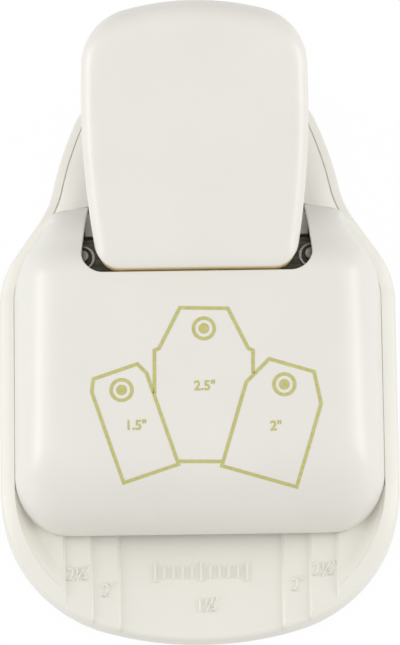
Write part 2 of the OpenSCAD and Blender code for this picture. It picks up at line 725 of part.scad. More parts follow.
module lever_frame() {
  translate([0, hinge_y, hinge_z]) rotate([lever_rest, 0, 0]) children();
}

module paddle_skin() {
  n = len(paddle(0));
  mid = paddle_top - lever_round;
  outer = [[1, 0, 1], [0, mid, 0], [lever_round * (1 - cos(30)), paddle_top - lever_round * (1 - sin(30)), 0],
    [lever_round * (1 - cos(60)), paddle_top - lever_round * (1 - sin(60)), 0], [lever_round, paddle_top, 0]];
  inner = [[lever_t + lever_round * 0.5, paddle_top - lever_t, 0], [lever_t, mid, 0], [lever_t + 1, 0, 1]];
  band([for (s = concat([inner[0], inner[1], inner[2]], outer)) let (o = paddle(s[0]), f = paddle(0))
    [for (i = [0:n - 1]) [o[i].x, o[i].y, s[1] + s[2] * paddle_bottom(f[i].y)]]], false);
}

module lever_shell() {
  gate = yoke_out + 1;
  color(ivory) lever_frame() difference() {
    union() {
      paddle_skin();
      at_pairs(lever_screw_at) rod(boss_r, web_q, paddle_top - lever_t + 0.5);
      for (p = [66, 74]) block(-lever_w / 2 + 2, lever_w / 2 - 2, p, p + 1.6, -4.5, paddle_top - lever_t + 0.5);
    }
    block(-gate, gate, lever_front - 1, lever_front + lever_t + 2, -far, web_q + 0.2);
    at_pairs(lever_screw_at) rod(screw_r + fit, -far, paddle_top - 1);
  }
}

module lever_yoke() {
  low = paddle_top - lever_h + 0.8;
  arm = [[0, eye_r], [roller_p + 10.7, -4.8], [web_front - 1, -4.8], [web_front, web_q], [web_rear, web_q],
    [web_rear, web_q - 3.5], [web_front, low], [roller_p, roller_q - eye_r], [0, -eye_r]];
  color(dark_steel) lever_frame() difference() {
    union() {
      both() translate([yoke_in, 0, 0]) rotate([90, 0, 90]) linear_extrude(yoke_t) {
        polygon(arm);
        circle(r = eye_r);
        translate([roller_p, roller_q]) circle(r = eye_r);
      }
      block(-yoke_out, yoke_out, web_front, web_rear, web_q - 1.6, web_q);
    }
    cross_rod(pin_r + run_gap, -far, far, 0, 0);
    cross_rod(roller_pin_r + fit, -far, far, roller_p, roller_q);
    at_pairs(lever_screw_at) rod(screw_r + 0.1, -far, far);
  }
}

module lever_screws() {
  color(bright) lever_frame() at_pairs(lever_screw_at) {
    rod(screw_r, web_q - 1.7, paddle_top - 1.2);
    rod(small_head_r, web_q - 1.6 - small_head_h, web_q - 1.6);
  }
}

module roller_pin() {
  color(bright) lever_frame() cross_rod(roller_pin_r, -yoke_out - 0.2, yoke_out + 0.2, roller_p, roller_q);
}

module press_roller() {
  half = yoke_in - 0.6;
  color(steel) lever_frame() difference() {
    cross_rod(roller_r, -half, half, roller_p, roller_q);
    cross_rod(roller_pin_r + run_gap, -far, far, roller_p, roller_q);
  }
}

module ram_block() {
  color(dark_steel) difference() {
    union() {
      slab([[ram_half, ram_front], [ram_half, guide_turn_y], [ram_rear_half, ram_rear],
        [-ram_rear_half, ram_rear], [-ram_half, guide_turn_y], [-ram_half, ram_front]], ram_z, ram_top);
      block(-pad_half.x, pad_half.x, -pad_half.y, pad_half.y, ram_top - 2, pad_z);
    }
    block(-yoke_out - 0.6, yoke_out + 0.6, -pad_half.y, pad_half.y, pad_z, far);
    at_pairs(posts) {
      rod(pocket_r, 0, ram_z + pocket_h);
      rod(bush_r + fit, 0, far);
    }
    at_pairs(blade_screw_at) rod(screw_r + 0.1, 0, far);
    translate([eyelet_at.x, eyelet_at.y, 0]) rod(eyelet_r + fit, 0, ram_z + eyelet_seat + 0.1);
  }
}

module punch_blade() {
  color(bright) difference() {
    slab(waste(0), blade_tip, ram_z);
    at_pairs(blade_screw_at) rod(screw_r + fit, ram_z - blade_thread - 0.5, far);
  }
}

module hole_punch() {
  color(bright) translate([eyelet_at.x, eyelet_at.y, 0]) rod(eyelet_r, blade_tip, ram_z + eyelet_seat);
}

module guide_bushes() {
  color(bright) at_pairs(posts) difference() {
    union() {
      rod(bush_r, ram_z + pocket_h, ram_top + 0.1);
      rod(flange_r, ram_top, ram_top + flange_t);
    }
    rod(post_r + run_gap, 0, far);
  }
}

module blade_screws() {
  color(steel) at_pairs(blade_screw_at) {
    rod(screw_r, ram_z - blade_thread, ram_top + 0.1);
    rod(small_head_r, ram_top, ram_top + small_head_h);
  }
}

base_tray();
bottom_plate();
rubber_feet();
top_cover();
rear_deck();
cover_screws();
deck_screws();
die_plate();
slot_spacers();
guide_plate();
stack_rivets();
die_screws();
guide_posts();
post_clips();
return_springs();
hinge_brackets();
bracket_rivets();
hinge_pin();
hinge_clips();
lever_shell();
lever_yoke();
lever_screws();
roller_pin();
press_roller();
ram_block();
punch_blade();
hole_punch();
guide_bushes();
blade_screws();
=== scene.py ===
"""Looks of a lever-driven label punch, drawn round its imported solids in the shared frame.

The white shells, the feet and the springs are made here with their moulded edges. The die set,
the fastenings and the linkage stay as packed and take their metal finishes here.
"""
import math

import bmesh
import bpy
from mathutils import Matrix, Vector


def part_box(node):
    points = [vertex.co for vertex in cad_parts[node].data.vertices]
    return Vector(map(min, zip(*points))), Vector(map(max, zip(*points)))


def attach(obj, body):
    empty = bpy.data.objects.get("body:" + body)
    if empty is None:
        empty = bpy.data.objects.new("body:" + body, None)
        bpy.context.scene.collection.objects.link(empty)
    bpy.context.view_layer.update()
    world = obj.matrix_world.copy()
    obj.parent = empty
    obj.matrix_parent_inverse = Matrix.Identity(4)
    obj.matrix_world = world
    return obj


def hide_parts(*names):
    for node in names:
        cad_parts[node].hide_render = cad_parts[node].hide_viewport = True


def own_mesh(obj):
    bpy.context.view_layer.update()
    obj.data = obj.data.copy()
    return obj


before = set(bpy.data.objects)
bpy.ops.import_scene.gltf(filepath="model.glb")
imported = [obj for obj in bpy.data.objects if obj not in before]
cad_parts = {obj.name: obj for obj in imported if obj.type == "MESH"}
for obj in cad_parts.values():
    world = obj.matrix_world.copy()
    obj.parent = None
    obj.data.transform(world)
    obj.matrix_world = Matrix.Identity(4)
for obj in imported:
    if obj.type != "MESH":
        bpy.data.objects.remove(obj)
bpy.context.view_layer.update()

# Base tray
# The lower housing is one ABS moulding, a shade yellower than the cover: an oval table with a
# three-step paper channel, a sloped rim that locates the cover and a narrow tail under the lever.
MM = 0.001
base_low, base_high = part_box("base_tray")
half_w = base_high.x / MM
front_reach = -base_low.y / MM
rear_reach = base_high.y / MM
base_z = base_low.z / MM
table_z = 8.6
nose_r = 79
side_front_y = -35
side_rear_y = 10.7
flare_r = 16.7
flare_angle = 38
flare_len = 8.6
waist_r = 20
waist_angle = 11
tail_r = 116
tail_corner_r = 18
tail_depth = 22
rim_w = 3.4
tail_rim_w = 2.3
tail_from = 25.5
tail_run = 2.4
rim_z = 13.5
rim_low_z = table_z + 0.15
rim_peak_z = 20
rim_rear_z = 13
rim_start = 10.5
rim_rise_from = 1.3
rim_peak_before = 9


def ray(angle, length=1):
    turn = math.radians(angle)
    return Vector((length * math.cos(turn), length * math.sin(turn)))


def arc(centre, radius, start, end, steps):
    points = [centre + ray(start + (end - start) * i / steps, radius) for i in range(steps + 1)]
    return [(p.x, p.y) for p in points]


def angle_of(vector):
    return math.degrees(math.atan2(vector.y, vector.x))


nose_c = Vector((0, nose_r - front_reach))
corner_r = (nose_r ** 2 - half_w ** 2 - (side_front_y - nose_c.y) ** 2) / (2 * (nose_r - half_w))
corner_c = Vector((half_w - corner_r, side_front_y))
nose_end = angle_of(corner_c - nose_c)
flare_c = Vector((half_w - flare_r, side_rear_y))
flare_top = flare_c + ray(flare_angle, flare_r)
run_top = flare_top + ray(flare_angle + 90, flare_len)
waist_c = run_top + ray(flare_angle, waist_r)
tail_c = waist_c - ray(waist_angle, waist_r + tail_r)
tail_end = math.degrees(math.asin((rear_reach - tail_depth - tail_c.y) / (tail_r - tail_corner_r)))
rear_c = tail_c + ray(tail_end, tail_r - tail_corner_r)
rear_k = rear_c.y - rear_reach
rear_r = (tail_corner_r ** 2 - rear_c.x ** 2 - rear_k ** 2) / (2 * (tail_corner_r + rear_k))
rear_mid = Vector((0, rear_reach - rear_r))
rear_turn = angle_of(rear_c - rear_mid)


def mirrored(half):
    """A closed plan from its right half, which starts and ends on the middle line."""
    return half + [(-x, y) for x, y in reversed(half[1:-1])]


def outline(inset):
    return mirrored(
        arc(nose_c, nose_r - inset, -90, nose_end, 24)
        + arc(corner_c, corner_r - inset, nose_end, 0, 32)
        + arc(flare_c, flare_r - inset, 0, flare_angle, 14)
        + arc(waist_c, waist_r + inset, flare_angle + 180, waist_angle + 180, 12)
        + arc(tail_c, tail_r - inset, waist_angle, tail_end, 8)
        + arc(rear_c, tail_corner_r - inset, tail_end, rear_turn, 20)
        + arc(rear_mid, rear_r - inset, rear_turn, 90, 14)
    )


def side_width(y, inset):
    """Half width of the outline behind the front corners, that far inside it."""
    run_start = flare_c + ray(flare_angle, flare_r - inset)
    if y < side_rear_y:
        return half_w - inset
    if y < run_start.y:
        return flare_c.x + math.sqrt((flare_r - inset) ** 2 - (y - side_rear_y) ** 2)
    if y < run_start.y + ray(flare_angle + 90, flare_len).y:
        return run_start.x - (y - run_start.y) * math.tan(math.radians(flare_angle))
    return waist_c.x - math.sqrt((waist_r + inset) ** 2 - (y - waist_c.y) ** 2)


def ease(share):
    share = min(max(share, 0), 1)
    return share * share * (3 - 2 * share)


def rim_top(y):
    """Height of the rim's top: low round the table, highest beside the lever."""
    start = rim_start - front_reach
    rise = side_rear_y + rim_rise_from
    peak = waist_c.y - rim_peak_before
    return (rim_low_z + (rim_z - rim_low_z) * ease((y - start) / (side_front_y - start))
            + (rim_peak_z - rim_z) * ease((y - rise) / (peak - rise))
            - (rim_peak_z - rim_rear_z) * ease((y - peak) / (rear_reach - peak)))


def between(rings, closed=True):
    """Four-sided faces that join each ring of points to the next."""
    count = len(rings[0])
    last = count if closed else count - 1
    faces = []
    for lower, upper in zip(rings, rings[1:]):
        for i in range(last):
            j = (i + 1) % count
            faces.append((lower[i], lower[j], upper[j], upper[i]))
    return faces


def mesh_object(name, faces):
    """A mesh from faces of points in millimetres, welded, with its faces turned outwards."""
    bm = bmesh.new()
    for face in faces:
        bm.faces.new([bm.verts.new(Vector(p) * MM) for p in face])
    bmesh.ops.remove_doubles(bm, verts=bm.verts, dist=0.002 * MM)
    bmesh.ops.dissolve_degenerate(bm, edges=bm.edges, dist=0.001 * MM)
    bmesh.ops.recalc_face_normals(bm, faces=bm.faces)
    mesh = bpy.data.meshes.new(name)
    bm.to_mesh(mesh)
    bm.free()
    made = bpy.data.objects.new(name, mesh)
    bpy.context.scene.collection.objects.link(made)
    return made


def bake_modifiers(made):
    graph = bpy.context.evaluated_depsgraph_get()
    mesh = bpy.data.meshes.new_from_object(made.evaluated_get(graph))
    made.modifiers.clear()
    made.data = mesh


def cut(made, faces, operation="DIFFERENCE"):
    """Takes the solid closed by the faces out of a piece, or joins it on."""
    cutter = mesh_object("cutter", faces)
    boolean = made.modifiers.new("cut", "BOOLEAN")
    boolean.operation = operation
    boolean.solver = "EXACT"
    boolean.object = cutter
    bake_modifiers(made)
    bpy.data.objects.remove(cutter)


def fit(made, body, material, slot, *nodes, crease=38):
    """Smooths a piece up to the crease angle and sets it on its body in place of CAD nodes."""
    bm = bmesh.new()
    bm.from_mesh(made.data)
    for face in bm.faces:
        face.smooth = True
    for edge in bm.edges:
        edge.smooth = edge.calc_face_angle(math.pi) < math.radians(crease)
    bm.to_mesh(made.data)
    bm.free()
    weighted = made.modifiers.new("flat faces stay flat", "WEIGHTED_NORMAL")
    weighted.keep_sharp = True
    made.data.materials.clear()
    made.data.materials.append(material)
    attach(made, body)
    if nodes:
        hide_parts(*nodes)
    return made


def linear(code):
    """Linear colour of an sRGB hex code."""
    parts = [int(code[i:i + 2], 16) / 255 for i in (0, 2, 4)]
    return [c / 12.92 if c <= 0.04045 else ((c + 0.055) / 1.055) ** 2.4 for c in parts] + [1.0]


def add(tree, kind, inputs=None, **settings):
    """Adds one node; an input is a value, or another node's output to link."""
    node = tree.nodes.new(kind)
    for name, value in settings.items():
        setattr(node, name, value)
    for key, value in (inputs or {}).items():
        if isinstance(value, bpy.types.NodeSocket):
            tree.links.new(value, node.inputs[key])
        else:
            node.inputs[key].default_value = value
    return node


def blank(name):
    """A material with nothing in it but its output."""
    material = bpy.data.materials.new(name)
    material.use_nodes = True
    material.node_tree.nodes.clear()
    return material, material.node_tree, add(material.node_tree, "ShaderNodeOutputMaterial")


def per_mm(size):
    """Texture scale for marks of that size in millimetres."""
    return 1 / (size * MM)


def moulded_abs(name, colour, shade, gloss):
    """Moulded ABS: the tool's satin shows as a fine grain and as faint flow marks in the tone."""
    material, tree, output = blank(name)
    place = add(tree, "ShaderNodeTexCoord").outputs["Object"]
    flow = add(tree, "ShaderNodeTexNoise", {"Vector": place, "Scale": per_mm(22), "Detail": 3})
    tone = add(tree, "ShaderNodeValToRGB", {"Fac": flow.outputs["Fac"]})
    tone.color_ramp.elements[0].position = 0.3
    tone.color_ramp.elements[0].color = linear(shade)
    tone.color_ramp.elements[1].position = 0.7
    tone.color_ramp.elements[1].color = linear(colour)
    wear = add(tree, "ShaderNodeTexNoise", {"Vector": place, "Scale": per_mm(6), "Detail": 4})
    satin = add(tree, "ShaderNodeMapRange", {
        "Value": wear.outputs["Fac"], "To Min": gloss - 0.015, "To Max": gloss + 0.015})
    # the real grain is near 0.05 mm; it is drawn at 0.5 mm so that the render can show it
    grain = add(tree, "ShaderNodeTexNoise", {"Vector": place, "Scale": per_mm(0.5), "Detail": 2})
    relief = add(tree, "ShaderNodeBump", {
        "Height": grain.outputs["Fac"], "Strength": 0.04, "Distance": 0.05 * MM})
    shader = add(tree, "ShaderNodeBsdfPrincipled", {
        "Base Color": tone.outputs["Color"], "Roughness": satin.outputs["Result"],
        "IOR": 1.54, "Normal": relief.outputs["Normal"]})
    tree.links.new(shader.outputs["BSDF"], output.inputs["Surface"])
    return material


base_abs = moulded_abs("ABS, cream, moulded", "E9E7DD", "E6E4DA", 0.31)

# each pair is a distance in from the outline, and a height over the base or a drop from the rim's top
base_lip = ((0.9, 0), (0.35, 0.15), (0.08, 0.45), (0, 0.9))
rim_slope = ((0, 2.6), (0.06, 2.2), (0.22, 1.85), (0.5, 1.55), (1.0, 1.2), (1.7, 0.78), (2.5, 0.34))
rim_edge = 0.12
tail_edge = 0.2
rim_soft = 3.4
rim_foot_w = 2.1
plate_seat_z = 3.6
foot_lift = 0.02
foot_steps = 6
foot_reach = 0.97
cover_front_y = -45.8
cover_corner_r = 13
cover_corner_y = cover_front_y + cover_corner_r
cover_inset = 3.43
cover_side = half_w - cover_inset


def tail_share(y):
    """0 beside the cover and 1 along the tail, where the rim is narrower."""
    return min(max((y - tail_from) / tail_run, 0), 1)


def mixed(a, b, share):
    return (a[0] + (b[0] - a[0]) * share, a[1] + (b[1] - a[1]) * share)


def rim_ring(inset, height, tail_inset=None):
    """Ring at a distance inside the outline, with another distance along the tail if one is given."""
    tail = outline(inset if tail_inset is None else tail_inset)
    plan = [mixed(a, b, tail_share(a[1])) for a, b in zip(outline(inset), tail)]
    return [(x, y, height(rim_top(y))) for x, y in plan]


def rim_foot(share):
    """Ring of the rim's inner face, from its edge at 0 to the table at 1. From the cover's front corner
    on the face leans out as far as the corner leaves room, and its foot slopes down to the table."""
    ring = []
    part = min(1.2 * share, 1)
    for edge, tail, inner in zip(outline(rim_w), outline(tail_rim_w), outline(rim_w + rim_soft)):
        past = min(max(cover_corner_y - edge[1], 0), cover_corner_r)
        wall = cover_side - cover_corner_r + math.sqrt(cover_corner_r ** 2 - past ** 2)
        room = min(max(foot_reach * (abs(edge[0]) - wall), 0), rim_soft) if past else 0
        soft = room / rim_soft
        x, y = mixed(mixed(edge, tail, tail_share(edge[1])), inner, part * soft)
        top = rim_top(y)
        low = top - min(rim_edge, (top - table_z) / 2)
        lift = max((low - table_z) * (1 - soft), foot_lift) if past else foot_lift
        foot = table_z + lift
        fall = part + (ease(part) - part) * soft
        ring.append((x, y, low + (foot - low) * fall if share < 1 else table_z))
    return ring


def base_rings():
    """Rings of the tray's skin, from the bottom plate's seat round the rim and down to the table."""
    narrow = tail_rim_w / rim_w
    rings = [rim_ring(rim_foot_w, lambda top: plate_seat_z)]
    rings.append(rim_ring(rim_foot_w, lambda top: base_z))
    for inset, lift in base_lip:
        rings.append(rim_ring(inset, lambda top, lift=lift: base_z + lift))
    for inset, drop in rim_slope:
        rings.append(rim_ring(inset, lambda top, drop=drop: top - drop, inset * narrow))
    for i in range(4):
        turn = math.radians(90 * i / 3)
        inset = rim_w - rim_edge * (1 - math.sin(turn))
        tail = tail_rim_w - tail_edge * (1 - math.sin(turn))
        fall = 1 - math.cos(turn)
        rings.append(rim_ring(
            inset, lambda top, fall=fall: top - fall * min(rim_edge, (top - table_z) / 2), tail))
    for i in range(1, foot_steps + 1):
        rings.append(rim_foot(i / foot_steps))
    return rings


step_h = 0.8
step_half = (63.5 / 2, 50.8 / 2, 38.1 / 2)
step_out = 0.42
step_in = 0.2
step_round = 0.08
front_round = 1.5
die_front = -30
seat_half = 36.1
seat_front_half = 31.8
seat_step = 5.8
seat_rear = 15.6
above = 40


def channel_profile():
    """Right half of the channel's section, from above the table down to the middle floor."""
    points = [(step_half[0] + step_out + step_round, above)]
    for i, half in enumerate(step_half):
        top = table_z - step_h * i
        floor = top - step_h
        points.append((half + step_out + step_round, top))
        points.append((half + step_out - step_round / 3, top - step_round))
        points.append((half - step_in + step_round / 3, floor + step_round))
        points.append((half - step_in - step_round, floor))
    return points


def front_edge(level, start, end):
    """Closed faces of what rounds off the table's front edge at a height, between two places across."""
    low = level - front_round
    shape = [(-1, low)] + arc(Vector((front_round, low)), front_round, 180, 90, 6)
    shape += [(front_round, level + 0.5), (-1, level + 0.5)]
    rings = []
    for i in range(17):
        x = start + (end - start) * i / 16
        turn = math.asin(x / nose_r)
        ring = []
        for inset, z in shape:
            at = nose_c + ray(math.degrees(turn) - 90, nose_r - inset)
            ring.append((at.x, at.y, z))
        rings.append(ring)
    return between(rings) + [tuple(reversed(rings[0])), tuple(rings[-1])]


def prism(plan, low, high, place):
    """Closed faces of a plan pushed from low to high; place turns (u, v, height) into a point."""
    rings = [[place(u, v, h) for u, v in plan] for h in (low, high)]
    return between(rings) + [tuple(reversed(rings[0])), tuple(rings[1])]


base = base_rings()
base_tray = mesh_object("base_tray_shell", between(base) + [tuple(base[0]), tuple(base[-1])])
right_half = channel_profile()
channel = right_half + [(-x, z) for x, z in reversed(right_half)]
cut(base_tray, prism(channel, -front_reach - 9, die_front + 0.1, lambda u, v, h: (u, h, v)))
walls = [half + (step_out - step_in) / 2 for half in step_half]
cut(base_tray, front_edge(table_z - 3 * step_h, -walls[2], walls[2]))
for side in (-1, 1):
    cut(base_tray, front_edge(table_z - 2 * step_h, side * walls[2], side * walls[1]))
    cut(base_tray, front_edge(table_z - step_h, side * walls[1], side * walls[0]))
seat_y = die_front + seat_step
die_seat = mirrored([(0, die_front - 0.2), (seat_front_half, die_front - 0.2), (seat_front_half, seat_y),
                     (seat_half, seat_y), (seat_half, seat_rear), (0, seat_rear)])
cut(base_tray, prism(die_seat, -1, above, lambda u, v, h: (u, v, h)))
fit(base_tray, "housing", base_abs, "base_plastic", "base_tray")


def figures(body, size, place, weight=0.0, height=0.0):
    """Faces of plain numbers, flat or raised with sloped sides; place turns (u, v, w) into a point."""
    curve = bpy.data.curves.new("numbers", "FONT")
    curve.body = body
    curve.size = size
    curve.offset = weight
    if height:
        curve.extrude = height - mark_slope
        curve.bevel_depth = mark_slope
        curve.bevel_resolution = 0
    curve.align_x = "CENTER"
    curve.align_y = "CENTER"
    curve.resolution_u = 6
    text = bpy.data.objects.new("numbers", curve)
    bpy.context.scene.collection.objects.link(text)
    graph = bpy.context.evaluated_depsgraph_get()
    mesh = bpy.data.meshes.new_from_object(text.evaluated_get(graph))
    faces = [tuple(place(*mesh.vertices[i].co) for i in face.vertices) for face in mesh.polygons]
    bpy.data.meshes.remove(mesh)
    bpy.data.objects.remove(text)
    bpy.data.curves.remove(curve)
    return faces


raised = 0.4
mark_slope = 0.2
mark_size = 4.6
mark_narrow = 0.82
mark_weight = -0.1
# each mark's number, place, ledge below the table and the way to its inch sign
size_marks = (
    ("2\u00bd", -28.8, -54.8, 1, 2.6),
    ("2\u00bd", 28.5, -54.4, 1, 2.6),
    ("2", -22.3, -58.6, 2, 1.5),
    ("2", 21.9, -57.8, 2, 1.5),
    ("1\u00bd", 1.2, -62.3, 3, 2.4),
)
marks = []
for words, x, y, level, reach in size_marks:
    floor_z = table_z - step_h * level
    marks += figures(
        words, mark_size, lambda u, v, w: (x + u * mark_narrow, y + v, floor_z + w), mark_weight, raised)
    marks += figures(
        "'", mark_size * 0.8, lambda u, v, w: (x + reach + u, y + 0.6 + v, floor_z + w), mark_weight, raised)
tick_gap = 2.15
tick_half = 0.3
tick_y = -54.2
tick_z = table_z - step_h * 3
for i in range(-5, 6):
    reach = 2.3 if i % 5 == 0 else 1.5
    left = i * tick_gap - tick_half
    right = i * tick_gap + tick_half
    tick = [(left, tick_y - reach), (right, tick_y - reach), (right, tick_y + reach), (left, tick_y + reach)]
    marks += prism(tick, tick_z - 0.1, tick_z + raised, lambda u, v, h: (u, v, h))
fit(mesh_object("raised_marks", marks), "housing", base_abs, "base_plastic")


def paint(material, *names):
    """Gives carried-over CAD nodes their finish."""
    for name in names:
        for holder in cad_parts[name].material_slots:
            holder.material = material


# Bottom plate and feet
# A flat moulded plate closes the tray from below, with a window over the die for the waste.
# Four moulded rubber pads are pressed into round seats in it, so the punch doesn't slip.
paint(base_abs, "bottom_plate")

foot_r = 5
foot_h = 1.5
foot_at = ((32, -50), (17, 55))


def foot_rubber():
    """Moulded rubber: dull and dark, a little dusty where it meets the table."""
    material, tree, output = blank("rubber, moulded")
    place = add(tree, "ShaderNodeTexCoord").outputs["Object"]
    dust = add(tree, "ShaderNodeTexNoise", {"Vector": place, "Scale": per_mm(1.5), "Detail": 5})
    tone = add(tree, "ShaderNodeValToRGB", {"Fac": dust.outputs["Fac"]})
    tone.color_ramp.elements[0].color = linear("26262A")
    tone.color_ramp.elements[1].color = linear("47474A")
    relief = add(tree, "ShaderNodeBump", {
        "Height": dust.outputs["Fac"], "Strength": 0.2, "Distance": 0.1 * MM})
    shader = add(tree, "ShaderNodeBsdfPrincipled", {
        "Base Color": tone.outputs["Color"], "Roughness": 0.82, "IOR": 1.52,
        "Normal": relief.outputs["Normal"]})
    tree.links.new(shader.outputs["BSDF"], output.inputs["Surface"])
    return material


def circle(centre, radius, steps):
    turns = [math.tau * i / steps for i in range(steps)]
    return [(centre[0] + radius * math.cos(t), centre[1] + radius * math.sin(t)) for t in turns]


def turned(profile, centre, steps=48):
    """Closed faces of a turned profile of (radius, height) about an upright line."""
    rings = [[(x, y, z) for x, y in circle(centre, r, steps)] for r, z in profile]
    return between(rings) + [tuple(reversed(rings[0])), tuple(rings[-1])]


foot_profile = [(2.2, 0.3), (2.6, 0.08), (3.0, 0), (4.3, 0), (4.75, 0.12), (foot_r, 0.5), (foot_r, foot_h)]
feet = []
for x, y in foot_at:
    feet += turned(foot_profile, (x, y)) + turned(foot_profile, (-x, y))
fit(mesh_object("rubber_pads", feet), "housing", foot_rubber(), "foot_rubber", "rubber_feet")

# Die set
# Die plate, spacers and guide plate are ground tool steel, blackened and oiled, riveted into one
# stack; the paper slides between the plates. Four plated screws hold the stack to the tray.


def steel(name, colour, shade, gloss, line):
    """Steel with fine grinding lines, that far apart in millimetres, across the width."""
    material, tree, output = blank(name)
    place = add(tree, "ShaderNodeTexCoord").outputs["Object"]
    lay = add(tree, "ShaderNodeMapping", {"Vector": place, "Scale": (0.04, 1, 1)})
    lines = add(tree, "ShaderNodeTexNoise", {
        "Vector": lay.outputs["Vector"], "Scale": per_mm(line), "Detail": 3})
    tone = add(tree, "ShaderNodeValToRGB", {"Fac": lines.outputs["Fac"]})
    tone.color_ramp.elements[0].position = 0.35
    tone.color_ramp.elements[0].color = linear(shade)
    tone.color_ramp.elements[1].position = 0.65
    tone.color_ramp.elements[1].color = linear(colour)
    film = add(tree, "ShaderNodeTexNoise", {"Vector": place, "Scale": per_mm(3), "Detail": 4})
    sheen = add(tree, "ShaderNodeMapRange", {
        "Value": film.outputs["Fac"], "To Min": gloss - 0.06, "To Max": gloss + 0.08})
    relief = add(tree, "ShaderNodeBump", {
        "Height": lines.outputs["Fac"], "Strength": 0.15, "Distance": 0.05 * MM})
    shader = add(tree, "ShaderNodeBsdfPrincipled", {
        "Base Color": tone.outputs["Color"], "Metallic": 1.0, "Roughness": sheen.outputs["Result"],
        "Normal": relief.outputs["Normal"]})
    tree.links.new(shader.outputs["BSDF"], output.inputs["Surface"])
    return material


# the real grinding lines are near 0.1 mm; they are drawn wider so that the render can show them
dark_steel = steel("tool steel, blackened", "6F6B5F", "5A564B", 0.42, 0.6)
ground_steel = steel("steel, ground", "B9B7B0", "A3A19A", 0.28, 0.4)
plated_steel = steel("steel, zinc plated", "A6A59C", "8F8E86", 0.34, 0.8)
paint(dark_steel, "die_plate", "slot_spacers", "guide_plate")
paint(plated_steel, "stack_rivets", "die_screws")

# Hinge brackets
# Two bent and pierced steel legs stand on the guide plate, riveted through their feet. The ground
# hinge pin lies across them and is kept from sliding by a spring clip at each end.
paint(dark_steel, "hinge_brackets")
paint(plated_steel, "bracket_rivets", "hinge_clips")
paint(ground_steel, "hinge_pin")

# Guide posts and return springs
# Four turned posts pressed into the guide plate carry the ram. A coil spring of bright wire round
# each post pushes the ram up, and a blued spring-steel clip in the post's groove stops it at the top.
paint(ground_steel, "guide_posts")
blued_steel = steel("spring steel, blued", "4A4A4A", "39393A", 0.3, 0.4)
paint(blued_steel, "post_clips")

spring_low, spring_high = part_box("return_springs")
post_at = ((26.8, 17.4), (21.54, -14))
wire_r = 0.4
coil_r = 2.6
coil_turns = 4.5
flat_end = 0.09


def coil(centre, around=10, steps_per_turn=40):
    """A wound wire with its end turns laid flat."""
    low = spring_low.z / MM + wire_r
    high = spring_high.z / MM - wire_r
    count = int(coil_turns * steps_per_turn)
    rings = []
    for i in range(count + 1):
        turn = math.tau * i / steps_per_turn
        z = low + (high - low) * min(max((i / count - flat_end) / (1 - 2 * flat_end), 0), 1)
        out = Vector((math.cos(turn), math.sin(turn), 0))
        middle = Vector((centre[0], centre[1], z)) + out * coil_r
        ring = []
        for k in range(around):
            lean = math.tau * k / around
            sideways = out * wire_r * math.cos(lean)
            ring.append(tuple(middle + sideways + Vector((0, 0, wire_r * math.sin(lean)))))
        rings.append(ring)
    return between(rings) + [tuple(reversed(rings[0])), tuple(rings[-1])]


springs = []
for x, y in post_at:
    springs += coil((x, y)) + coil((-x, y))
wire = steel("spring wire, drawn", "B4B3AC", "9B9A93", 0.3, 0.5)
coils = mesh_object("spring_coils", springs)
fit(coils, "housing", wire, "bright_steel", "return_springs", crease=60)
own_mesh(coils)

# Ram and blade
# The ram is a milled steel block on four flanged bushes. The tag-shaped blade and the round hole
# punch are hardened and ground, and screwed to its underside.
paint(dark_steel, "ram_block")
paint(ground_steel, "punch_blade", "hole_punch", "guide_bushes")
paint(plated_steel, "blade_screws")

# Top cover
# The upper housing is one ivory ABS moulding with a top that leans towards the user, a long round
# front and a U-shaped notch for the lever. It drops inside the rim and is screwed from below.
hinge_y = -19
hinge_z = 28.904
lever_front = 30.9
lever_rest = 25
paddle_top = 1
cover_z = 41
cover_tilt = 10
cover_t = 2.4
cover_nose = 18.8
cover_nose_y = cover_front_y + cover_nose
cover_rear_y = 30.8
cover_rear_z = 22.5
cover_sweep = 15
notch_y = 8.62
notch_half = 26.8
notch_rear_half = 25.3
notch_r = 5
notch_lip = 0.25
notch_rear_lip = 0.5
slot_lip = 0.6
slot_half = 33.5
nose_power = 2.2
cover_lean = 2.4
full_lean_rise = 24
side_power = 8
rise_power = 5
seam_power = 16
square_from = 18
lip_from = 16
lip_steps = 6
tilt_slope = math.tan(math.radians(cover_tilt))
fall_power = 1.7
fall_run = cover_rear_y - notch_y
cover_fall = (cover_z + fall_run * tilt_slope - cover_rear_z) / fall_run ** fall_power


def cover_line(y):
    """Height of the top's middle line, without the round front."""
    return cover_z + (y - notch_y) * tilt_slope - cover_fall * max(0, y - notch_y) ** fall_power


def cover_half(y, inside):
    """Half width of the cover, or of a skin that far inside it."""
    front = cover_front_y + inside
    radius = cover_corner_r - inside
    side = cover_side - inside
    if y < front + radius:
        return side - radius + math.sqrt(max(0, radius ** 2 - (front + radius - y) ** 2))
    return min(side, side_width(y, cover_inset - (rim_w - tail_rim_w) * tail_share(y) + inside))


def cover_rise(y, inside):
    """Height of the top over the table at the middle line."""
    share = min(max((cover_nose_y - y) / (cover_nose - inside), 0), 1)
    return (cover_line(y) - inside - table_z) * (1 - share ** nose_power) ** (1 / nose_power)


def section_form(y):
    """Powers of the section across and upwards, and a function for how far its sides lean in at a share
    of the height; they lean above the rim only, and less towards the seam with the rear deck."""
    square = ease((y - square_from) / (cover_rear_y - square_from))
    rise = cover_rise(y, 0)
    most = cover_lean * min(1, rise / full_lean_rise) * (1 - square)
    start = min((rim_top(y) - table_z) / max(rise, 1), 0.8)
    across = side_power + (seam_power - side_power) * square
    upwards = rise_power + (seam_power - rise_power) * square
    return across, upwards, lambda level: most * max(0, level - start) / (1 - start)


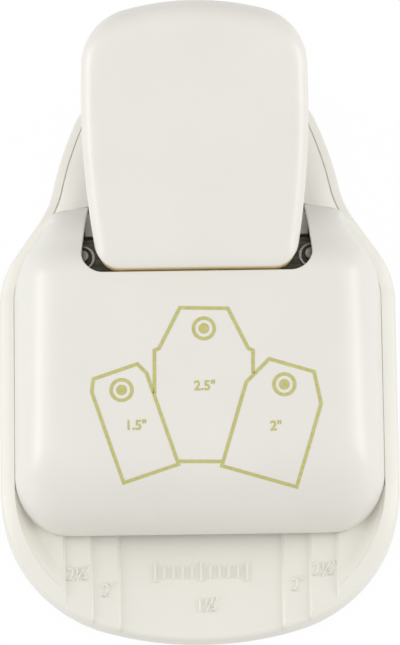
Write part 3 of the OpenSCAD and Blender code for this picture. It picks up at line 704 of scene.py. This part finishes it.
def section_rise(x, y, inside):
    """Height of a skin over the table at a place across."""
    half = cover_half(y, inside)
    across, upwards, lean = section_form(y)
    level = 1
    for i in range(24):
        share = min(abs(x) / (half - lean(level)), 1)
        level = (1 - share ** across) ** (1 / upwards)
    return cover_rise(y, inside) * level


def cover_top(x, y):
    return table_z + section_rise(x, y, 0)


def lip_at(y):
    """Radius of the notch's edge; it grows towards the seam."""
    return notch_lip + (notch_rear_lip - notch_lip) * ease((y - lip_from) / (cover_rear_y - lip_from))


def section_side(y, inside, edge, steps=34):
    """Right half of the cover's section from the notch edge out and down to the table, evenly spaced."""
    half = cover_half(y, inside)
    rise = cover_rise(y, inside)
    across, upwards, lean = section_form(y)

    def place(turn):
        level = math.sin(turn) ** (2 / upwards)
        return math.cos(turn) ** (2 / across) * (half - lean(level)), rise * level

    low, high = 0, math.pi / 2
    for i in range(60):
        first = (low + high) / 2
        low, high = (first, high) if place(first)[0] > edge else (low, first)
    fine = [place(first * (1 - i / 240) ** 2) for i in range(241)]
    run = [0]
    for a, b in zip(fine, fine[1:]):
        run.append(run[-1] + math.dist(a, b))
    points = []
    k = 0
    for i in range(steps + 1):
        want = run[-1] * i / steps
        while k < len(run) - 2 and run[k + 1] < want:
            k += 1
        share = (want - run[k]) / max(run[k + 1] - run[k], 1e-9)
        x = fine[k][0] + (fine[k + 1][0] - fine[k][0]) * share
        z = fine[k][1] + (fine[k + 1][1] - fine[k][1]) * share
        points.append(over_slot(x, y, table_z + z))
    return points


def over_slot(x, y, z):
    """Keeps the front edge clear of the paper slot."""
    if abs(x) < slot_half and y < cover_front_y + 6:
        z = max(z, table_z + slot_lip)
    return (x, y, z)


def cover_skin(inside, grow):
    """Rows of one skin: right-hand rows from the notch edge to the table, and middle rows ahead of
    the notch. Grow is how far the skin stops short of the notch wall."""
    wall_half = notch_half + grow
    wall_y = notch_y - grow
    wall_r = notch_r + grow
    inner = wall_half - wall_r
    sides = []
    middles = []
    edge = []
    nose_steps = 22
    for i in range(nose_steps + 1):
        turn = math.radians(90 * (1 - i / nose_steps))
        y = cover_nose_y - (cover_nose - inside) * math.sin(turn) ** (2 / nose_power)
        sides.append((y, inner))
    top_steps = 26
    for i in range(1, top_steps + 1):
        sides.append((cover_nose_y + (wall_y - cover_nose_y) * i / top_steps, inner))
    ahead = len(sides)
    corner_steps = 12
    for i in range(1, corner_steps + 1):
        turn = math.radians(90 * i / corner_steps)
        sides.append((wall_y + wall_r * (1 - math.cos(turn)), inner + wall_r * math.sin(turn)))
        edge.append((-math.sin(turn), math.cos(turn)))
    rear_steps = 18
    end_y = cover_rear_y + 0.6
    for i in range(1, rear_steps + 1):
        share = i / rear_steps
        y = wall_y + wall_r + (end_y - wall_y - wall_r) * share
        wider = lip_at(y) - notch_lip if inside == 0 else 0
        sides.append((y, wall_half + (notch_rear_half - notch_half) * share + wider))
        edge.append((-1, 0))
    rows = [section_side(y, inside, x) for y, x in sides]
    across = 24
    for y, x in sides[:ahead]:
        row = []
        for k in range(across + 1):
            at = -inner + 2 * inner * k / across
            row.append(over_slot(at, y, table_z + section_rise(at, y, inside)))
        middles.append(row)
    rim = [(row[0], normal) for row, normal in zip(rows[ahead:], edge)]
    front = [(p, (0, 1)) for p in middles[-1]]
    return rows, middles, rim, front


def flipped(faces):
    return [tuple((-x, y, z) for x, y, z in reversed(face)) for face in faces]


def cover_faces():
    """Faces of both skins, of the rounded notch edge and of the rims that join the skins."""
    rows, middles, rim, front = cover_skin(0, notch_lip)
    in_rows, in_middles, in_rim, in_front = cover_skin(cover_t, 0)
    half = between(rows, closed=False) + between(in_rows, closed=False)
    faces = between(middles, closed=False) + between(in_middles, closed=False)
    rings = [[] for i in range(lip_steps + 1)]
    chain = [(p, (-n[0], n[1])) for p, n in reversed([((-q[0], q[1], q[2]), m) for q, m in rim])]
    chain += front
    chain += rim
    in_chain = [(-q[0], q[1], q[2]) for q, m in reversed(in_rim)]
    in_chain += [q for q, m in in_front]
    in_chain += [q for q, m in in_rim]
    for p, n in chain:
        lip = lip_at(p[1])
        for k in range(lip_steps + 1):
            turn = math.radians(90 * k / lip_steps)
            reach = lip * math.sin(turn)
            rings[k].append((p[0] + n[0] * reach, p[1] + n[1] * reach, p[2] - lip * (1 - math.cos(turn))))
    faces += between(rings + [in_chain], closed=False)
    half += between([[row[-1] for row in rows], [row[-1] for row in in_rows]], closed=False)
    half += between([rows[0], in_rows[0]], closed=False)
    faces += between([middles[0], in_middles[0]], closed=False)
    half += between([rows[-1], in_rows[-1]], closed=False)
    return faces + half + flipped(half)


def seam_line(back):
    """Plan of the seam between cover and rear deck, swept forward at the sides, moved back a little."""
    y = cover_rear_y + back
    end = y - (half_w - notch_rear_half) * math.tan(math.radians(cover_sweep))
    return [(-half_w, end), (-notch_rear_half, y), (notch_rear_half, y), (half_w, end)]


cover_abs = moulded_abs("ABS, ivory, moulded", "E8E5DE", "E5E2DB", 0.3)
top_cover = mesh_object("top_cover_shell", cover_faces())
behind = seam_line(0) + [(half_w, rear_reach), (-half_w, rear_reach)]
cut(top_cover, prism(behind, 0, 60, lambda u, v, h: (u, v, h)))
fit(top_cover, "housing", cover_abs, "cover_plastic", "top_cover")
paint(plated_steel, "cover_screws")

# Printed sizes
# Three tag outlines with their widths are pad printed on the slope in a metallic olive ink.
# The film is a few hundredths of a millimetre thick; the print sits a little right of centre.
ink_t = 0.04
line_w = 0.82
print_y = -18
press_angle = math.radians(72)
press_way = (math.cos(press_angle), -math.sin(press_angle))
number_size = 3.15
number_weight = 0.09


def on_cover(x, along, lift=ink_t):
    """Point of the cover under a place on the flat print, pressed on along the pad's way."""
    y = print_y + along * math.cos(math.radians(cover_tilt))
    z = cover_line(y)
    near, far_off = 0.0, 14.0
    for i in range(40):
        step = (near + far_off) / 2
        if z + press_way[1] * step > cover_top(x, y + press_way[0] * step):
            near = step
        else:
            far_off = step
    return (x, y + press_way[0] * near, z + press_way[1] * near + lift)


def stroke(points, closed=False, width=line_w):
    """Flat strip along a line, mitred at its corners and draped on the cover."""
    count = len(points)
    path = [Vector(p) for p in points]
    left = []
    right = []
    for i, p in enumerate(path):
        back = (p - path[i - 1]).normalized() if closed or i > 0 else None
        ahead = (path[(i + 1) % count] - p).normalized() if closed or i < count - 1 else None
        back = back or ahead
        ahead = ahead or back
        normal = Vector((-back.y - ahead.y, back.x + ahead.x)).normalized()
        reach = width / 2 / max(0.4, normal.dot(Vector((-ahead.y, ahead.x))))
        left.append(p + normal * reach)
        right.append(p - normal * reach)
    faces = []
    for i in range(count if closed else count - 1):
        j = (i + 1) % count
        parts = max(1, int((path[j] - path[i]).length / 1.5))
        for k in range(parts):
            corners = (left[i].lerp(left[j], k / parts), right[i].lerp(right[j], k / parts),
                       right[i].lerp(right[j], (k + 1) / parts), left[i].lerp(left[j], (k + 1) / parts))
            faces.append(tuple(on_cover(*c) for c in corners))
    return faces


def disc(centre, radii, steps=40):
    """Ring or dot draped on the cover, from its inner to its outer radius."""
    rings = [[on_cover(x, along) for x, along in circle(centre, r, steps)] for r in radii]
    return between(rings)


def tag(corner, lean, width, length, top, shoulder):
    """Corners of a tag with cut shoulders, from its lower left corner, leaning that many degrees."""
    nib = (width - top) / 2
    shape = [(0, 0), (width, 0), (width, length - shoulder), (width - nib, length), (nib, length),
             (0, length - shoulder)]
    return [tuple(Vector(corner) + ray(lean, u) + ray(lean + 90, v)) for u, v in shape]


print_faces = stroke(tag((-17.6, -22.4), 18.4, 13.4, 25.2, 10.7, 2.7), closed=True)
print_faces += stroke(tag((5.1, -18.7), -16.9, 18.0, 27.0, 10.8, 6.7), closed=True)
# the middle tag shows only where the other two don't cover it
print_faces += stroke([(-10.2, -1.6), (-10.1, 8.4), (-9.0, 8.9), (-4.1, 18.3),
                       (7.0, 18.0), (11.6, 8.6), (12.7, 8.1), (12.6, 2.8)])
print_faces += stroke([(-4.9, -17.5), (5.3, -17.7)])
for x, along in ((1.4, 13.4), (-17.8, -0.7), (19.8, 0.1)):
    print_faces += disc((x, along), (2.0, 2.4, 2.8)) + disc((x, along), (0.02, 0.6, 1.25))
for words, x, along in (("2.5\"", 1.4, 0.0), ("1.5\"", -14.6, -9.0), ("2\"", 17.7, -9.6)):
    print_faces += figures(
        words, number_size, lambda u, v, w: on_cover(x + u, along + v), number_weight)


def printed_ink():
    """Metallic olive ink: satin, with fine flakes that lighten it here and there."""
    material, tree, output = blank("ink, metallic olive")
    place = add(tree, "ShaderNodeTexCoord").outputs["Object"]
    flake = add(tree, "ShaderNodeTexNoise", {"Vector": place, "Scale": per_mm(0.8), "Detail": 4})
    tone = add(tree, "ShaderNodeValToRGB", {"Fac": flake.outputs["Fac"]})
    tone.color_ramp.elements[0].position = 0.3
    tone.color_ramp.elements[0].color = linear("BEBA74")
    tone.color_ramp.elements[1].position = 0.7
    tone.color_ramp.elements[1].color = linear("CCC985")
    shader = add(tree, "ShaderNodeBsdfPrincipled", {
        "Base Color": tone.outputs["Color"], "Metallic": 0.35, "Roughness": 0.42, "IOR": 1.5})
    tree.links.new(shader.outputs["BSDF"], output.inputs["Surface"])
    return material


fit(mesh_object("printed_sizes", print_faces), "housing", printed_ink(), "cover_plastic")

# Rear deck
# A separate ivory ABS panel closes the tail, flush with the cover at the seam and with the rim. It runs
# on under the lever as a tongue below the notch; two screws hold it from below.
deck_gap = 0.25
deck_inset = tail_rim_w + 0.12
deck_z = 22.4
deck_rear_z = rim_rear_z
deck_crown = 5
tongue_y = 23.5
tongue_half = 26.1
tongue_root = 25.22
tongue_step = 2.8
tongue_step_end = 1.6


def deck_top(y):
    return deck_z + (deck_rear_z - deck_z) * (y - cover_rear_y) / (rear_reach - cover_rear_y)


def deck_ring(inset, lip):
    """Ring of the deck's skin that far inside its edge, a lip's depth below the flush surface."""
    crown = 1 - (1 - min(max(inset, 0) / deck_crown, 1)) ** 2
    ring = []
    for x, y in outline(deck_inset + inset):
        edge = min(rim_top(y) - 0.1, deck_top(y))
        ring.append((x, y, edge + (deck_top(y) - edge) * crown - lip))
    return ring


deck_rings = [[(x, y, table_z) for x, y in outline(deck_inset - 0.1)]]
deck_edge = ((-0.1, 0.16), (0, 0.12), (0.05, 0.04), (0.15, 0), (1, 0), (2, 0), (3.5, 0), (deck_crown, 0))
for inset, lip in deck_edge:
    deck_rings.append(deck_ring(inset, lip))
deck_faces = between(deck_rings) + [tuple(reversed(deck_rings[0])), tuple(deck_rings[-1])]
rear_deck = mesh_object("rear_deck_panel", deck_faces)
ahead_of_seam = seam_line(deck_gap) + [(half_w, -front_reach - 1), (-half_w, -front_reach - 1)]
cut(rear_deck, prism(ahead_of_seam, 0, 90, lambda u, v, h: (u, v, h)))
tongue_end = cover_rear_y + deck_gap + 0.2
tongue = mirrored([
    (0, tongue_y), (tongue_half, tongue_y), (tongue_half, cover_rear_y - tongue_step),
    (tongue_root, cover_rear_y - tongue_step_end), (tongue_root, tongue_end), (0, tongue_end)])
cut(rear_deck, prism(tongue, table_z, deck_z, lambda u, v, h: (u, v, h)), "UNION")
# painted light: the deck's ivory is a lighter copy of the cover's, offsetting the lever's shade on the deck
deck_abs_painted_lighter = moulded_abs("ABS, ivory, moulded, deck, painted lighter", "F3F0E7", "F0EDE4", 0.32)
fit(rear_deck, "housing", deck_abs_painted_lighter, "cover_plastic", "rear_deck")
paint(plated_steel, "deck_screws")

# Lever
# The paddle is a hollow ivory ABS moulding, wider at its rear, with soft edges and two ribs inside.
# It is screwed to a bent steel yoke that swings on the hinge pin and carries the press roller.
lever_reach = 92.5
lever_wide = 69
lever_half = 26.3
lever_front_half = 22.8
lever_t = 2.2
lever_base_q = paddle_top - 11
lever_tip_q = paddle_top - 7.5
taper_from = 50
front_corner_r = 6
tip_corner_r = 13.2
crown_r = 62
edge_round = 4
tip_round = 5.8
flat_inset = 5.9
front_drop = 1.2
front_wall = 2.2
wall_inset = 0.35
tip_from = 76
ridge_from = 44
ridge_to = 72
spread = lever_half - lever_front_half
side_r = ((lever_wide - lever_front) ** 2 + spread ** 2) / (2 * spread)
side_c = Vector((lever_half - side_r, lever_wide))
crown_c = Vector((0, lever_reach - crown_r))
front_rise = lever_wide - lever_front - front_corner_r
front_x = side_c.x + math.sqrt((side_r - front_corner_r) ** 2 - front_rise ** 2)
front_c = Vector((front_x, lever_front + front_corner_r))


def crossing(a, ra, b, rb):
    """Crossing of two circles that lies to the right of the way from a to b."""
    way = b - a
    along = (ra ** 2 - rb ** 2 + way.length_squared) / (2 * way.length)
    off = math.sqrt(ra ** 2 - along ** 2)
    unit = way.normalized()
    first = a + unit * along + Vector((unit.y, -unit.x)) * off
    second = a + unit * along - Vector((unit.y, -unit.x)) * off
    return first if first.y > second.y else second


tip_c = crossing(side_c, side_r - tip_corner_r, crown_c, crown_r - tip_corner_r)
side_start = angle_of(front_c - side_c)
side_end = angle_of(tip_c - side_c)
tip_end = angle_of(tip_c - crown_c)


def paddle(inset):
    return mirrored(
        [(0, lever_front + inset)]
        + arc(front_c, front_corner_r - inset, -90, side_start, 22)
        + arc(side_c, side_r - inset, side_start, side_end, 34)
        + arc(tip_c, tip_corner_r - inset, side_end, tip_end, 22)
        + arc(crown_c, crown_r - inset, tip_end, 90, 18)
    )


def on_lever(x, p, q):
    """Point of the lever's own frame, along and above the arm, at rest."""
    turn = math.radians(lever_rest)
    c = math.cos(turn)
    s = math.sin(turn)
    return (x, hinge_y + p * c - q * s, hinge_z + p * s + q * c)


def paddle_low(p):
    return lever_base_q + (lever_tip_q - lever_base_q) * ease((p - taper_from) / (lever_reach - taper_from))


def paddle_round(p):
    """How far in and how far down the rounded edge reaches; it is thin at the front end."""
    side = edge_round + (tip_round - edge_round) * ease((p - tip_from) / (lever_reach - tip_from))
    return side, front_drop + (side - front_drop) * ease((p - lever_front) / front_corner_r)


def wall_ring():
    """Ring part way down the wall; at the front the wall stands upright while the lever is up."""
    ring = []
    for (x, p), (u, v) in zip(paddle(0), paddle(wall_inset)):
        reach, drop = paddle_round(p)
        front = 1 - ease((p - lever_front) / front_corner_r)
        lean = (front_wall * math.tan(math.radians(lever_rest)) + wall_inset) * front
        ring.append(on_lever(u, v - lean, paddle_top - drop - front_wall))
    return ring


def lever_faces():
    """Faces of the paddle, from its hollow round the lower edge and the rounded rim to the top's ridge."""
    plans = []
    roof = paddle_top - lever_t
    hollow = (
        (4.2, lambda p: roof),
        (3.2, lambda p: roof - 0.3),
        (2.6, lambda p: roof - 1.4),
        (3.0, paddle_low),
        (1.5, paddle_low),
        (1.15, lambda p: paddle_low(p) + 0.15),
        (1.0, lambda p: paddle_low(p) + 0.5),
    )
    for inset, height in hollow:
        plans.append([on_lever(x, p, height(p)) for x, p in paddle(inset)])
    plans.append(wall_ring())
    edge = paddle(flat_inset)
    for k in range(9):
        turn = math.radians(90 * k / 8)
        ring = []
        for (x, p), (u, v) in zip(paddle(0), edge):
            reach, drop = paddle_round(p)
            share = reach * (1 - math.cos(turn)) / flat_inset
            q = paddle_top - drop * (1 - math.sin(turn))
            ring.append(on_lever(x + (u - x) * share, p + (v - p) * share, q))
        plans.append(ring)
    for share in (0, 0.3, 0.65, 1):
        ring = []
        for x, p in edge:
            ridge = min(max(p, ridge_from), ridge_to)
            ring.append(on_lever(x * (1 - share), p + (ridge - p) * share, paddle_top))
        plans.append(ring)
    return between(plans) + [tuple(reversed(plans[0]))]


def tint(made, material, low, high):
    """Gives the upright faces of a piece inside a box in millimetres a second material."""
    made.data.materials.append(material)
    for face in made.data.polygons:
        inside = all(a < c / MM < b for a, c, b in zip(low, face.center, high))
        if inside and abs(face.normal.z) < 0.75:
            face.material_index = 1


lever_abs = moulded_abs("ABS, ivory, moulded, lever", "E9E6DF", "E6E3DC", 0.29)
lever = mesh_object("lever_paddle", lever_faces())
yoke_half = 16.5
gate_q = -3.0
gate_low = lever_base_q - 4
gate = [(-yoke_half, gate_low), (yoke_half, gate_low), (yoke_half, gate_q), (-yoke_half, gate_q)]
cut(lever, prism(gate, lever_front - 2, lever_front + lever_t + 2, lambda u, v, h: on_lever(u, h, v)))
fit(lever, "lever", lever_abs, "lever_plastic", "lever_shell")
front_y = on_lever(0, lever_front, 0)[1]
# painted light: golden colour on the lever's front faces, for light let through the shells into the narrow
# gap
gap_painted_light = moulded_abs("ABS, ivory, painted light through", "EBD6A8", "E4CFA0", 0.5)
gap_top = hinge_z + lever_front * math.sin(math.radians(lever_rest))
tint(lever, gap_painted_light, (-lever_half, front_y - 3, 20), (lever_half, front_y + 4, gap_top))

rib_t = 1.6
rib_half = 24.2
rib_cut = 0.6
rib_low = -4.5
rib_high = paddle_top - lever_t + 0.4
rib = [(-rib_half, rib_low + rib_cut), (-rib_half + rib_cut, rib_low), (rib_half - rib_cut, rib_low),
       (rib_half, rib_low + rib_cut), (rib_half, rib_high), (-rib_half, rib_high)]
rib_faces = []
for p in (66, 74):
    rib_faces += prism(rib, p, p + rib_t, lambda u, v, h: on_lever(u, h, v))
fit(mesh_object("lever_ribs", rib_faces), "lever", lever_abs, "lever_plastic")

paint(dark_steel, "lever_yoke")
paint(plated_steel, "lever_screws")
paint(ground_steel, "roller_pin", "press_roller")

# Studio
# A pale seamless floor in an even white room that is a little darker behind the punch, with a
# softbox and a low strip light on each side.
floor_half = 4000
lamp_aim = Vector((0, 0, 0.02))


def studio_floor():
    """Matt white paper that reads as white and keeps a little of the shadow."""
    material, tree, output = blank("paper, white, seamless")
    path = add(tree, "ShaderNodeLightPath")
    place = add(tree, "ShaderNodeTexCoord").outputs["Object"]
    pulp = add(tree, "ShaderNodeTexNoise", {"Vector": place, "Scale": per_mm(40), "Detail": 2})
    tone = add(tree, "ShaderNodeValToRGB", {"Fac": pulp.outputs["Fac"]})
    tone.color_ramp.elements[0].color = linear("CCCCCC")
    tone.color_ramp.elements[1].color = linear("D0D0D0")
    matt = add(tree, "ShaderNodeBsdfDiffuse", {"Color": tone.outputs["Color"]})
    glow = add(tree, "ShaderNodeEmission", {"Color": (1, 1, 1, 1), "Strength": 1.03})
    seen = add(tree, "ShaderNodeMath", {
        0: path.outputs["Is Camera Ray"], 1: path.outputs["Is Glossy Ray"]}, operation="MAXIMUM")
    seen = add(tree, "ShaderNodeMath", {
        0: seen.outputs[0], 1: path.outputs["Is Transmission Ray"]}, operation="MAXIMUM")
    share = add(tree, "ShaderNodeMath", {0: seen.outputs[0], 1: 0.93}, operation="MULTIPLY")
    sheet = add(tree, "ShaderNodeMixShader", {
        "Fac": share.outputs[0], 1: matt.outputs["BSDF"], 2: glow.outputs["Emission"]})
    tree.links.new(sheet.outputs["Shader"], output.inputs["Surface"])
    return material


floor = mesh_object("floor", [((-floor_half, -floor_half, 0), (floor_half, -floor_half, 0),
                               (floor_half, floor_half, 0), (-floor_half, floor_half, 0))])
floor.data.materials.append(studio_floor())

world = bpy.data.worlds.new("studio")
bpy.context.scene.world = world
world.use_nodes = True
world.node_tree.nodes.clear()
sky_path = add(world.node_tree, "ShaderNodeLightPath")
sky_way = add(world.node_tree, "ShaderNodeVectorMath", {
    0: add(world.node_tree, "ShaderNodeTexCoord").outputs["Generated"], 1: (0, -0.5, 0.87)},
    operation="DOT_PRODUCT")
sky_fall = add(world.node_tree, "ShaderNodeMapRange", {
    "Value": sky_way.outputs["Value"], "From Min": -0.2, "From Max": 0.9, "To Min": 0.55, "To Max": 0.905})
sky_level = add(world.node_tree, "ShaderNodeMapRange", {
    "Value": sky_path.outputs["Is Camera Ray"], "To Min": sky_fall.outputs["Result"], "To Max": 1.0})
sky = add(world.node_tree, "ShaderNodeBackground", {
    "Color": (1, 1, 1, 1), "Strength": sky_level.outputs["Result"]})
add(world.node_tree, "ShaderNodeOutputWorld", {"Surface": sky.outputs["Background"]})


def softbox(name, place, width, height, power):
    """Soft lamp at a place in metres, aimed at the middle of the punch."""
    lamp = bpy.data.lights.new(name, "AREA")
    lamp.shape = "RECTANGLE"
    lamp.size = width
    lamp.size_y = height
    lamp.energy = power
    lamp_object = bpy.data.objects.new(name, lamp)
    lamp_object.location = place
    lamp_object.rotation_euler = (lamp_aim - Vector(place)).to_track_quat("-Z", "Y").to_euler()
    bpy.context.scene.collection.objects.link(lamp_object)


for side, way, strip in (("left", -1, 2.5), ("right", 1, 2.2)):
    softbox("softbox_" + side, (0.88 * way, 0, 0.55), 0.7, 0.5, 1.2)
    softbox("strip_" + side, (0.95 * way, 0, 0.26), 0.8, 0.4, strip)

# Camera
# A long lens looks down the slope from the front, rolled a little, as the photograph was taken.
view_rise = 72
view_roll = 0.8
view_far = 1.6
focal_px = 6840.05
long_side_px = 645
aim = Vector((0, -0.0016, 0.02))
aim_px = (-2.0, -17.5)
forward = Vector((0, math.cos(math.radians(view_rise)), -math.sin(math.radians(view_rise))))
level = Vector((1, 0, 0))
upright = level.cross(forward)
roll_c = math.cos(math.radians(view_roll))
roll_s = math.sin(math.radians(view_roll))
across = level * roll_c - upright * roll_s
up = level * roll_s + upright * roll_c
middle = aim - (across * aim_px[0] + up * aim_px[1]) * view_far / focal_px
camera_data = bpy.data.cameras.new("camera")
camera_data.sensor_width = 36
camera_data.lens = focal_px * camera_data.sensor_width / long_side_px
camera_data.clip_end = 50
camera = bpy.data.objects.new("camera", camera_data)
turn_matrix = Matrix((across, up, -forward)).transposed().to_4x4()
camera.matrix_world = Matrix.Translation(middle - forward * view_far) @ turn_matrix
bpy.context.scene.collection.objects.link(camera)
bpy.context.scene.camera = camera
bpy.context.scene.view_settings.view_transform = "Standard"
